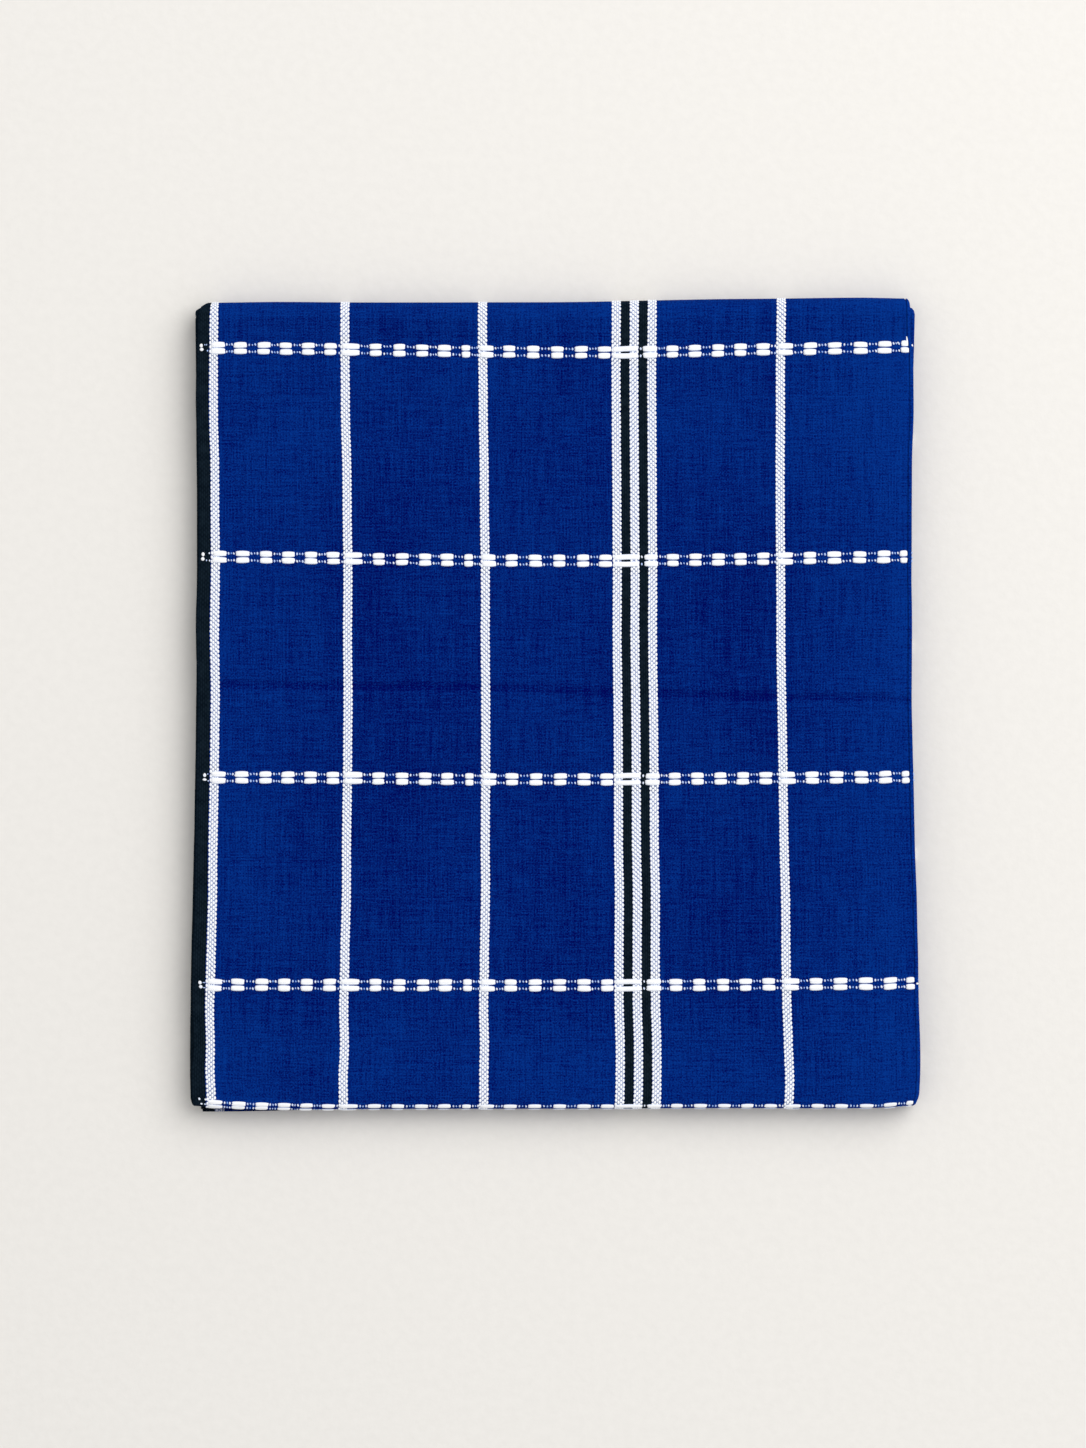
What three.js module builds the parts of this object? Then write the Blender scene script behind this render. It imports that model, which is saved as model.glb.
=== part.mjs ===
// A length of hand-woven cotton cloth, folded and lying flat: one sheet, so one solid.
// It is folded in half across its width, with both selvedges at the left and the fold at the right.
// The doubled cloth is then folded in half along its length twice, which makes four doubled layers:
// the outer fold at the back joins the top and bottom layers, the inner fold at the back joins
// the two between them, the front fold joins the top two, and the lower two end free at the front.
// Millimetres. +X is to the right, +Y to the back, +Z up. The origin is under the middle of the cloth.
import * as THREE from 'three';

// Driving dimensions
const clothThickness = 1.0;
const plyGap = 0.35; // between the two plies of a doubled layer
const layerGap = 0.4; // between doubled layers
const frontY = -141.6; // the front fold's furthest reach, before its own drift
const backY = 142.1; // the outer fold's furthest reach, before its own drift
const innerFoldInset = 0.4; // the inner fold's clearance inside the outer fold, beyond layerGap
const foldSteps = { outer: 8, inner: 6, front: 8 };
const leastStep = 1.5; // between two stations along the cloth
const lowerPlyEndInset = 0.8; // the free ends' lower plies stop a little short
const crease = { y: 5.9, depth: 0.3, halfWidth: 3.2 }; // an old fold line across the top
const clothColour = 0x0b2d84;

// Rows of thick floating yarns, two lines in each, which stand out as low ribs on the top.
// One more row lies round the front fold.
const rib = { rows: [124.2, 51.1, -25.7, -98.0], halfWidth: 2.8, topHalfWidth: 1.5, height: 0.6 };
const ribOnFold = { from: 15, to: 55 }; // degrees round the front fold from its top

// How the stack swells where the folds spring open, as shares of its height, and where
const swellShare = { right: 0.045, back: 0.04, waves: 0.02 };
const swellFrom = { right: [70, 126], back: [95, 140] };
const waveLength = { across: 207, along: 258 };
const wavePhase = { across: 0.8, along: -0.4 };

// The doubled layer, worked out from the sheet
const plyMiddle = (clothThickness + plyGap) / 2; // from the doubled layer's middle
const layerHeight = 2 * clothThickness + plyGap;
const layerPitch = layerHeight + layerGap;
const stackHeight = 4 * layerHeight + 3 * layerGap;
const layerNames = ['bottom', 'second', 'third', 'top'];
const middleOf = {};
layerNames.forEach((name, i) => (middleOf[name] = layerHeight / 2 + i * layerPitch));

// Left and right edges of each doubled layer, seen from above, a row for each section.
// The top layer is drawn in where it goes round the back, and the cloth widens to the front.
const edges = {
  top: [
    { y: -140.6, left: -126.5, right: 126.3 },
    { y: -136.5, left: -127.2, right: 127.5 },
    { y: -129.5, left: -127.3, right: 127.8 },
    { y: -119.0, left: -126.6, right: 127.7 },
    { y: -106.0, left: -127.0, right: 127.3 },
    { y: -89.0, left: -126.8, right: 127.0 },
    { y: -68.0, left: -126.2, right: 126.6 },
    { y: -50.0, left: -126.0, right: 125.9 },
    { y: -28.0, left: -125.5, right: 125.4 },
    { y: 2.3, left: -125.1, right: 124.8 },
    { y: 28.0, left: -125.5, right: 124.8 },
    { y: 54.0, left: -124.8, right: 124.8 },
    { y: 84.0, left: -124.8, right: 124.9 },
    { y: 102.5, left: -125.4, right: 125.4 },
    { y: 122.0, left: -125.3, right: 125.2 },
    { y: 127.5, left: -125.2, right: 124.4 },
    { y: 137.0, left: -125.1, right: 124.2 },
    { y: 140.0, left: -124.5, right: 124.1 },
    { y: 141.2, left: -123.4, right: 123.8 },
  ],
  third: [
    { y: -140.6, left: -127.1, right: 126.1 },
    { y: -136.0, left: -127.8, right: 127.0 },
    { y: -104.0, left: -127.8, right: 127.2 },
    { y: -60.0, left: -127.0, right: 125.9 },
    { y: -10.0, left: -125.8, right: 124.6 },
    { y: 40.0, left: -125.8, right: 124.2 },
    { y: 90.0, left: -125.8, right: 124.6 },
    { y: 118.0, left: -126.0, right: 125.4 },
    { y: 135.5, left: -126.1, right: 125.8 },
    { y: 138.4, left: -125.6, right: 125.3 },
  ],
  second: [
    { y: -141.0, left: -123.8, right: 125.6 },
    { y: -132.0, left: -124.6, right: 126.4 },
    { y: -100.0, left: -126.3, right: 126.6 },
    { y: -50.0, left: -126.2, right: 125.4 },
    { y: 0.0, left: -125.5, right: 124.3 },
    { y: 50.0, left: -125.1, right: 124.0 },
    { y: 100.0, left: -125.3, right: 124.8 },
    { y: 135.5, left: -125.5, right: 125.5 },
    { y: 138.4, left: -125.1, right: 125.2 },
  ],
  bottom: [
    { y: -140.6, left: -125.8, right: 126.4 },
    { y: -100.0, left: -127.8, right: 127.2 },
    { y: -50.0, left: -126.6, right: 126.2 },
    { y: 0.0, left: -125.7, right: 125.0 },
    { y: 50.0, left: -125.6, right: 124.4 },
    { y: 100.0, left: -125.9, right: 124.9 },
    { y: 127.5, left: -125.5, right: 124.5 },
    { y: 137.0, left: -125.2, right: 124.2 },
    { y: 140.0, left: -124.5, right: 124.1 },
    { y: 141.2, left: -123.4, right: 123.8 },
  ],
};

// How far the lower selvedge of each doubled layer lies out past the upper one, as folded
const selvedgeStep = { top: 0.4, third: -0.5, second: 0.6, bottom: -0.3 };

// How the folds, the float rows, the crease and the free ends drift off a straight line, a row for each
// place across
const drift = {
  back: [
    { x: -124, y: -1.2 },
    { x: -98, y: -0.9 },
    { x: 0, y: -0.9 },
    { x: 52, y: -0.1 },
    { x: 80, y: 0.4 },
    { x: 107, y: 0.6 },
    { x: 124, y: 0.5 },
  ],
  front: [
    { x: -127, y: 1.0 },
    { x: -100, y: 0.5 },
    { x: -60, y: 0.0 },
    { x: 0, y: 0.1 },
    { x: 55, y: 0.5 },
    { x: 112, y: 0.6 },
    { x: 127, y: 1.4 },
  ],
  floatRow: [
    { x: -119, y: 0.6 },
    { x: -75, y: 0.1 },
    { x: -26, y: -0.4 },
    { x: 23, y: -0.4 },
    { x: 72, y: 0.5 },
    { x: 114, y: 1.1 },
  ],
  crease: [
    { x: -119, y: 1.4 },
    { x: -99, y: 1.25 },
    { x: -75, y: 0.75 },
    { x: -26, y: 0.4 },
    { x: 23, y: -1.2 },
    { x: 72, y: -2.9 },
    { x: 114, y: -3.3 },
    { x: 124, y: -3.8 },
  ],
  secondEnd: [
    { x: -124, y: -0.9 },
    { x: -100, y: -0.6 },
    { x: -72, y: 0.2 },
    { x: -20, y: 1.0 },
    { x: 60, y: 1.7 },
    { x: 126, y: 1.2 },
  ],
  bottomEnd: [
    { x: -126, y: 0.9 },
    { x: -60, y: 1.6 },
    { x: 10, y: 0.7 },
    { x: 70, y: 1.1 },
    { x: 126, y: 2.0 },
  ],
};

// Stops from the selvedges to the fold at the right: share of the width, inset from the fold,
// pinch of the plies towards each other, and thickness as a share of the cloth's.
const valleyPinch = 0.13;
const stops = [
  { share: 0, inset: 0, pinch: 0, thick: 0.5 },
  { share: 0, inset: -0.7, pinch: 0, thick: 1 },
  { share: 0.12, inset: 0, pinch: 0, thick: 1 },
  { share: 0.3, inset: 0, pinch: 0, thick: 1 },
  { share: 0.5, inset: 0, pinch: 0, thick: 1 },
  { share: 0.7, inset: 0, pinch: 0, thick: 1 },
  { share: 0.87, inset: 0, pinch: 0, thick: 1 },
  { share: 1, inset: 3.6, pinch: 0, thick: 1 },
  { share: 1, inset: 2.0, pinch: valleyPinch, thick: 1 },
];
const beadSteps = 6;

function between(rows, key, at, column) {
  const last = rows.length - 1;
  if (at <= rows[0][key]) return rows[0][column];
  if (at >= rows[last][key]) return rows[last][column];
  const i = rows.findIndex((row) => row[key] > at) - 1;
  const share = (at - rows[i][key]) / (rows[i + 1][key] - rows[i][key]);
  return THREE.MathUtils.lerp(rows[i][column], rows[i + 1][column], share);
}

// The section of a doubled layer: places from the upper selvedge round the fold to the lower one.
// out is the direction across and up in which the sheet's thickness is laid.
function section() {
  const upper = stops.map(({ share, inset, pinch, thick }) => ({
    side: 1,
    share,
    inset,
    height: plyMiddle - pinch,
    out: [0, 1],
    thick,
  }));
  const beadInset = plyMiddle + clothThickness / 2;
  const bead = [];
  for (let i = 0; i <= beadSteps; i++) {
    const angle = Math.PI * (0.5 - i / beadSteps);
    const out = [Math.cos(angle), Math.sin(angle)];
    const inset = beadInset - plyMiddle * out[0];
    bead.push({ side: Math.sign(out[1]), share: 1, inset, height: plyMiddle * out[1], out, thick: 1 });
  }
  const lower = upper.map((stop) => ({ ...stop, side: -1, height: -stop.height, out: [0, -1] }));
  return [...upper, ...bead, ...lower.reverse()];
}

// Edges of one layer at a distance from front to back, or of two layers that share a fold
function edgesAt(layer, y, other = layer, share = 0) {
  const at = (name, column) => between(edges[name], 'y', y, column);
  const mixed = (column) => THREE.MathUtils.lerp(at(layer, column), at(other, column), share);
  const step = THREE.MathUtils.lerp(selvedgeStep[layer], selvedgeStep[other], share);
  return { left: mixed('left'), right: mixed('right'), step };
}

// A fold's reach from its middle line to its outside
const foldRadius = {
  front: (middleOf.top - middleOf.third) / 2,
  inner: (middleOf.third - middleOf.second) / 2,
  outer: (middleOf.top - middleOf.bottom) / 2,
};
const reach = (fold) => foldRadius[fold] + layerHeight / 2;
const innerBackY = backY - layerHeight - layerGap - innerFoldInset;
const centreOf = {
  front: frontY + reach('front'),
  inner: innerBackY - reach('inner'),
  outer: backY - reach('outer'),
};

// The four stations that lift one float row
function ribPlaces(row) {
  const { halfWidth, topHalfWidth } = rib;
  const offsets = [-halfWidth, -topHalfWidth, topHalfWidth, halfWidth];
  return offsets.map((offset) => ({
    y: row + offset,
    own: 'floatRow',
    ribbed: Math.abs(offset) < halfWidth,
  }));
}

// The three stations that lower the crease
function creasePlaces() {
  return [-crease.halfWidth, 0, crease.halfWidth].map((offset) => ({ y: crease.y + offset, own: 'crease' }));
}

// Stations along the doubled cloth. up is the direction, back and up, of the face that lies
// uppermost in the top layer. front and back say how much of each drift a station takes, unless it has
// its own.
function run(layer, from, to, up, frontDrift) {
  const low = Math.min(from, to);
  const high = Math.max(from, to);
  const marked = layer === 'top' ? [...rib.rows.flatMap(ribPlaces), ...creasePlaces()] : [];
  const fixed = [{ y: from }, { y: to }, ...marked];
  const clear = ({ y }) => y > low && y < high && fixed.every((place) => Math.abs(place.y - y) > leastStep);
  const places = [...fixed, ...edges[layer].filter(clear)];
  places.sort((a, b) => (from < to ? a.y - b.y : b.y - a.y));
  const share = (y) => (y - low) / (high - low);
  return places.map(({ y, own = null, ribbed = false }) => ({
    y,
    z: middleOf[layer],
    up: [0, up],
    ...edgesAt(layer, y),
    frontDrift,
    front: own ? 0 : 1 - share(y),
    back: own ? 0 : share(y),
    own,
    ribbed,
  }));
}

function fold(name, upperLayer, lowerLayer, way, outside, steps) {
  const stations = [];
  const centreZ = (middleOf[upperLayer] + middleOf[lowerLayer]) / 2;
  for (let i = 1; i < steps; i++) {
    const angle = (Math.PI * i) / steps;
    const arm = [way * Math.sin(angle), Math.cos(angle)];
    const y = centreOf[name] + foldRadius[name] * arm[0];
    const degrees = THREE.MathUtils.radToDeg(angle);
    const ribbed = name === 'front' && degrees > ribOnFold.from && degrees < ribOnFold.to;
    stations.push({
      y,
      z: centreZ + foldRadius[name] * arm[1],
      up: [outside * arm[0], outside * arm[1]],
      ...edgesAt(upperLayer, y, lowerLayer, i / steps),
      frontDrift: 'front',
      front: way < 0 ? 1 : 0,
      back: way < 0 ? 0 : 1,
      own: null,
      ribbed,
    });
  }
  return stations;
}

function stationsAlong() {
  const outer = fold('outer', 'top', 'bottom', 1, 1, foldSteps.outer);
  const inner = fold('inner', 'third', 'second', 1, -1, foldSteps.inner);
  const front = fold('front', 'top', 'third', -1, 1, foldSteps.front);
  const stations = [
    ...run('bottom', frontY, centreOf.outer, -1, 'bottomEnd'),
    ...outer.reverse(),
    ...run('top', centreOf.outer, centreOf.front, 1, 'front'),
    ...front,
    ...run('third', centreOf.front, centreOf.inner, -1, 'front'),
    ...inner,
    ...run('second', centreOf.inner, frontY, 1, 'secondEnd'),
  ];
  stations[0].freeEnd = true;
  stations[stations.length - 1].freeEnd = true;
  return stations;
}

function swell(x, y) {
  const right = THREE.MathUtils.smoothstep(x, ...swellFrom.right);
  const back = THREE.MathUtils.smoothstep(y, ...swellFrom.back);
  const across = Math.sin((2 * Math.PI * x) / waveLength.across + wavePhase.across);
  const along = Math.sin((2 * Math.PI * y) / waveLength.along + wavePhase.along);
  return swellShare.right * right + swellShare.back * back + (swellShare.waves * (1 + across * along)) / 2;
}

function creaseDepthAt(x, y) {
  const away = Math.abs(y - crease.y - between(drift.crease, 'x', x, 'y'));
  return crease.depth * Math.max(0, 1 - away / crease.halfWidth);
}

// A point of the cloth: a station along it, a stop across it, and face 1 outside or -1 inside
function point(station, stop, face) {
  const raised = station.ribbed && face > 0 && stop.side > 0 ? rib.height * stop.out[1] : 0;
  const laid = (face * stop.thick * clothThickness) / 2 + raised;
  const lowerStep = stop.side < 0 ? station.step * (1 - stop.share) : 0;
  const width = station.right - station.left;
  const x = station.left - lowerStep + width * stop.share - stop.inset + laid * stop.out[0];
  const height = stop.height + laid * stop.out[1];
  const driftOf = (name) => between(drift[name], 'x', x, 'y');
  const drifted = station.own
    ? driftOf(station.own)
    : station.front * driftOf(station.frontDrift) + station.back * driftOf('back');
  const short = station.freeEnd && stop.side * station.up[1] < 0 ? lowerPlyEndInset : 0;
  const y = station.y + station.up[0] * height + drifted + short;
  const level = station.z + station.up[1] * height;
  const lifted = level * (1 + swell(x, y) - creaseDepthAt(x, y) / stackHeight);
  return [x, y, Math.abs(lifted) < 1e-6 ? 0 : lifted];
}

function clothGeometry() {
  const stations = stationsAlong();
  const places = section();
  const positions = [];
  const index = [];
  const number = (i, j, face) => (i * places.length + j) * 2 + (face > 0 ? 0 : 1);
  for (const station of stations) {
    for (const stop of places) {
      positions.push(...point(station, stop, 1), ...point(station, stop, -1));
    }
  }
  const quad = (a, b, c, d) => index.push(a, c, b, a, d, c);
  const lastI = stations.length - 1;
  const lastJ = places.length - 1;
  for (let i = 0; i < lastI; i++) {
    for (let j = 0; j < lastJ; j++) {
      quad(number(i, j, 1), number(i, j + 1, 1), number(i + 1, j + 1, 1), number(i + 1, j, 1));
      quad(number(i, j, -1), number(i + 1, j, -1), number(i + 1, j + 1, -1), number(i, j + 1, -1));
    }
    quad(number(i, 0, -1), number(i, 0, 1), number(i + 1, 0, 1), number(i + 1, 0, -1));
    quad(number(i, lastJ, 1), number(i, lastJ, -1), number(i + 1, lastJ, -1), number(i + 1, lastJ, 1));
  }
  for (let j = 0; j < lastJ; j++) {
    quad(number(0, j, -1), number(0, j + 1, -1), number(0, j + 1, 1), number(0, j, 1));
    quad(number(lastI, j, 1), number(lastI, j + 1, 1), number(lastI, j + 1, -1), number(lastI, j, -1));
  }
  const geometry = new THREE.BufferGeometry();
  geometry.setAttribute('position', new THREE.Float32BufferAttribute(positions, 3));
  geometry.setIndex(index);
  geometry.computeBoundingBox();
  const middle = geometry.boundingBox.getCenter(new THREE.Vector3());
  geometry.translate(-middle.x, -middle.y, 0);
  geometry.computeVertexNormals();
  return geometry;
}

const cloth = new THREE.Mesh(
  clothGeometry(),
  new THREE.MeshStandardMaterial({ color: clothColour, roughness: 0.92, metalness: 0 }),
);
cloth.name = 'cloth';

const group = new THREE.Group();
group.add(cloth);

export default group;
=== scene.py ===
"""The looks of one folded length of hand-woven cotton cloth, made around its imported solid.

Lengths are in millimetres until a mesh is made, and in metres from there on. +X is to the right, away
from the selvedges, +Y is to the back and +Z is up, as in the solid.
Along the cloth, s runs on the middle line of the doubled cloth: from the bottom layer's free end at the
front, round the outer fold at the back, over the top layer, round the front fold, along the third layer,
round the inner fold at the back and along the second layer to its free end at the front.
Across the cloth, t is 0 at the upper selvedge, 1 at the fold on the right and 2 at the lower selvedge,
and u is the same way in millimetres of the flat cloth.
"""
import math

import bpy
import numpy as np
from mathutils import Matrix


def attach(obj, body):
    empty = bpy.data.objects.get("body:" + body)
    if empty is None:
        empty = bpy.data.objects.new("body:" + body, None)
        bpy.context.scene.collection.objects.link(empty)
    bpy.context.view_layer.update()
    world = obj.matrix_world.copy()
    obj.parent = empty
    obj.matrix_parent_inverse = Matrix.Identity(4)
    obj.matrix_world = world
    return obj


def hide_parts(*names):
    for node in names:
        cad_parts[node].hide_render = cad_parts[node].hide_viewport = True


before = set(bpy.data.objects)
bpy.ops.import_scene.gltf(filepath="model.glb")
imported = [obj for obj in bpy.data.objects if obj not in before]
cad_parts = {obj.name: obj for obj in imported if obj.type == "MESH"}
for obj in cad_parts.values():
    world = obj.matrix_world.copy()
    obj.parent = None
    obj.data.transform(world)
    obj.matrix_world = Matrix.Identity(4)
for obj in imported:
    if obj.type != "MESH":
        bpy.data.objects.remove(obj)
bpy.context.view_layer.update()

# The folded sheet, as in the solid
SOLID_THICKNESS = 1.0
PLY_GAP = 0.35
LAYER_GAP = 0.4
FRONT_Y = -141.6
BACK_Y = 142.1
INNER_FOLD_INSET = 0.4
LOWER_PLY_END_INSET = 0.8
LOWER_PLY_END_REACH = 12
SOLID_CENTRE_Y = 0.062
SWELL = {"right": 0.045, "back": 0.04, "waves": 0.02}
SWELL_FROM = {"right": (70, 126), "back": (95, 140)}
WAVE_LENGTH = {"across": 207, "along": 258}
WAVE_PHASE = {"across": 0.8, "along": -0.4}
SELVEDGE_STEP = {"top": 0.4, "third": -0.5, "second": 0.6, "bottom": -0.3}

# Edges of each doubled layer seen from above, without their corners: y, left, right
EDGES = {
    "top": (
        (-141.0, -127.1, 127.2), (-136.5, -127.2, 127.5), (-129.5, -127.3, 127.8),
        (-119.0, -126.6, 127.7), (-106.0, -127.0, 127.3), (-89.0, -126.8, 127.0),
        (-68.0, -126.2, 126.6), (-50.0, -126.0, 125.9), (-28.0, -125.5, 125.4),
        (2.3, -125.1, 124.8), (28.0, -125.5, 124.8), (54.0, -124.8, 124.8),
        (84.0, -124.8, 124.9), (102.5, -125.4, 125.4), (122.0, -125.3, 125.2),
        (142.0, -125.1, 125.2),
    ),
    "third": (
        (-141.0, -127.9, 126.9), (-136.0, -128.0, 127.0), (-104.0, -128.0, 127.2),
        (-60.0, -127.0, 125.9), (-10.0, -125.8, 124.6), (40.0, -125.8, 124.2),
        (90.0, -125.8, 124.6), (118.0, -126.0, 125.4), (135.5, -126.2, 125.9),
        (139.0, -126.2, 125.9),
    ),
    "second": (
        (-141.0, -123.8, 125.6), (-132.0, -124.6, 126.4), (-100.0, -126.3, 126.6),
        (-50.0, -126.2, 125.4), (0.0, -125.5, 124.3), (50.0, -125.1, 124.0),
        (100.0, -125.3, 124.8), (135.5, -125.5, 125.5), (139.0, -125.5, 125.5),
    ),
    "bottom": (
        (-140.6, -125.8, 126.4), (-100.0, -127.8, 127.2), (-50.0, -126.6, 126.2),
        (0.0, -125.7, 125.0), (50.0, -125.6, 124.4), (100.0, -125.9, 124.9),
        (127.5, -125.6, 125.4), (142.0, -125.2, 125.4),
    ),
}

# How far each fold's corners are drawn in: distance from the fold's tip, then at the upper selvedge, at the
# right and at the lower selvedge
CORNERS = {
    "outer": (
        (1.1, 3.0, 1.4, 1.3), (1.5, 2.3, 1.25, 0.7), (2.3, 0.95, 1.08, -0.3), (3.0, 0.85, 1.03, -0.6),
        (3.7, 0.5, 1.0, -0.6), (5.2, 0.0, 0.98, -0.4), (7.5, 0.0, 0.96, 0.0), (13.5, 0.0, 0.9, 0.0),
        (19.5, 0.0, 0.0, 0.0),
    ),
    "inner": ((1.1, 0.4, 0.35, 0.4), (1.6, 0.1, 0.1, 0.1), (3.0, 0.0, 0.0, 0.0)),
    "front": ((0.0, 1.6, 1.9, 1.6), (1.0, 0.6, 0.9, 0.6), (2.4, 0.1, 0.3, 0.1), (4.5, 0.0, 0.0, 0.0)),
}
CORNER_REACH = 6.0

# How the folds and the free ends drift off a straight line: x, y
DRIFT = {
    "back": (
        (-124, -1.0), (-98, -0.7), (-70, -0.87), (-20, -0.82), (8, -0.7), (52, 0.2), (80, 0.5),
        (107, 0.8), (124, 0.5),
    ),
    "front": (
        (-127, 1.1), (-119, 0.45), (-110, 0.0), (-98, -0.1), (-60, 0.15), (0, 0.25), (55, 0.45),
        (112, 0.5), (127, 1.4),
    ),
    "second_end": ((-124, -0.9), (-100, -0.6), (-72, 0.2), (-20, 1.0), (60, 1.7), (126, 1.2)),
    "bottom_end": ((-126, 0.9), (-60, 1.6), (10, 0.7), (70, 1.1), (126, 2.0)),
}

# The cloth as it shows: its outer face is the solid's, and it is a little thinner
OUTER_LIFT = SOLID_THICKNESS / 2
INNER_LIFT = 0.42
HALF_WIDTH = 251.5
PLY_MIDDLE = (SOLID_THICKNESS + PLY_GAP) / 2
LAYER_HEIGHT = 2 * SOLID_THICKNESS + PLY_GAP
LAYER_PITCH = LAYER_HEIGHT + LAYER_GAP
STACK_HEIGHT = 4 * LAYER_HEIGHT + 3 * LAYER_GAP
LAYERS = ("bottom", "second", "third", "top")
MIDDLE_Z = {name: LAYER_HEIGHT / 2 + i * LAYER_PITCH for i, name in enumerate(LAYERS)}
BEAD_INSET = PLY_MIDDLE + OUTER_LIFT
QUARTER_TURN = math.pi / 2 * PLY_MIDDLE
# t where the fold across runs out into the lower ply
BEAD_END = 1 + QUARTER_TURN / HALF_WIDTH
CREASE = {"y": 5.9, "depth": 0.45, "half_width": 3.2, "uneven": 0.35}
NECK = {"inset": 1.5, "pinch": 0.16, "half_width": 0.8, "dent": 0.32, "dent_half_width": 0.28}
ROW_DIP = {"from_row": 3.2, "half_width": 2.6, "depth": 0.14}
# Distance between the sheet's points along the cloth
SHEET_STEP = {
    "outer": 0.72, "front": 0.36, "inner": 0.54, "hidden": 8.0, "top": 2.7, "row": 0.9, "crease": 0.8,
}
NEAR_ROW = 5
EDGE_ROUNDING = 0.5
EDGE_THINNEST = 0.12
EDGE_WAVE = {"height": 0.16, "fine": 0.6, "broad": 0.8, "apart": 9.0}
UNEVEN_HEIGHT = 0.02

# Pattern, in millimetres of flat cloth from the upper selvedge to the fold. The lower ply mirrors it.
SELVEDGE_WIDTH = 4.4
STRIPE_HALF = 1.65
SINGLE_STRIPES = (6.2, 52.5, 101.0, 206.0)
TRIPLE = {"centre": 154.0, "white": 6.3, "black": 3.15, "black_half": 1.55}
WHITE_STRIPES = SINGLE_STRIPES + tuple(TRIPLE["centre"] + k * TRIPLE["white"] for k in (-1, 0, 1))
END_PITCH = 0.8
ENDS_A_STRIPE = 4
BUMP_PITCH = 1.54
GROUND_PITCH = 1.05

# How far the stripes lean off their mean place on the top layer: place across, then at each of
# LEAN_AT's places along
LEAN_AT = (137.5, 106.8, 71.8, 29.8, -12.2, -54.2, -89.2, -117.2, -136.5)
LEAN = (
    (0.0, 0.0, 0.0, 0.0, 0.0, 0.0, 0.0, 0.0, 0.0, 0.0),
    (6.2, -0.6, -0.5, -0.7, 0.0, -0.2, -0.1, 0.0, -0.5, 0.4),
    (52.5, -0.8, -0.45, -0.3, 0.5, 0.3, 0.3, 0.1, -0.3, -0.2),
    (101.0, -0.9, -0.55, -0.35, 0.45, 0.35, 0.3, 0.05, -0.35, -0.1),
    (154.0, -0.5, -0.6, -0.3, 0.1, 0.25, 0.2, 0.05, 0.0, 0.3),
    (206.0, -0.8, -1.2, -0.95, -0.55, -0.2, -0.2, -0.3, -0.1, 0.55),
    (251.5, 0.0, 0.0, 0.0, 0.0, 0.0, 0.0, 0.0, 0.0, 0.0),
)

# Rows of thick floats on the top layer: where, and how each drifts at these places across
ROW_DRIFT_AT = (-119, -99, -75, -26, 23, 72, 114, 124)
TOP_ROWS = (
    (124.3, (0.75, 0.55, 0.25, -0.5, -0.8, 0.15, 0.9, 1.1)),
    (51.2, (0.8, 0.55, 0.2, -0.55, -0.6, 0.0, 0.7, 0.7)),
    (-25.6, (0.3, 0.25, 0.1, -0.35, -0.35, 0.05, 0.45, 0.45)),
    (-97.9, (0.0, 0.0, -0.1, -0.15, -0.1, 0.1, 0.5, 0.55)),
)
CREASE_DRIFT = (1.4, 1.25, 0.75, 0.4, -1.2, -2.9, -3.3, -3.8)
ROW_SPACING = 73.2
# How far past the fold's start the front row is taken to lie, for the spacing of the rows after it
FRONT_ROW_MEAN = 1.5
LINE_OFFSET = 1.2
# Over which lengths the leaning warp and the drifting rows straighten away from the top layer
LEAN_FADE = 40
SHIFT_FADE = (6.0, 30.0)
# The row round the front fold at the same places: how far past the fold's start its middle lies on the
# cloth's face, and how far its lines lie from there. Its floats are pressed flatter and narrower.
FRONT_ROW = (1.25, 1.55, 2.75, 3.2, 3.25, 3.3, 3.25, 3.0)
FRONT_LINES = (0.85, 0.85, 1.3, 1.5, 1.5, 1.5, 1.5, 1.4)
FRONT_FLOATS = {"tall": 0.62, "wide": 0.78}

# Floats of one line: start, length. Those over a white stripe start at its edge.
FLOATS = (
    (5.2, 5.0), (13.4, 4.7), (21.8, 4.4), (29.5, 4.5), (37.4, 4.4), (45.2, 4.4),
    (51.3, 6.4), (61.2, 4.3), (69.4, 4.4), (77.6, 4.4), (85.3, 4.5), (93.7, 3.0),
    (99.8, 5.0), (108.1, 4.4), (116.5, 4.5), (125.0, 4.4), (133.3, 4.5), (141.3, 4.5),
    (146.3, 9.3), (157.2, 5.1),
    (165.4, 4.3), (173.4, 4.5), (181.7, 4.4), (189.6, 4.4), (197.6, 4.5),
    (204.9, 5.5), (213.9, 4.6), (222.3, 4.7), (231.0, 4.8), (239.5, 4.5), (247.4, 2.7),
)
LONG_FLOAT = 7.0
# A float's body: its points along and across as shares, and the two grooves between its three strands
FLOAT_ALONG = (0.0, 0.025, 0.07, 0.15, 0.3, 0.5, 0.7, 0.85, 0.93, 0.975, 1.0)
FLOAT_ACROSS = (
    -1, -0.93, -0.76, -0.54, -0.4, -0.33, -0.26, -0.1, 0.1, 0.26, 0.33, 0.4, 0.54, 0.76, 0.93, 1.0,
)
GROOVE = {"at": 0.33, "half_width": 0.07, "depth": 0.16}
FLOAT_SINK = 0.08

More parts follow.
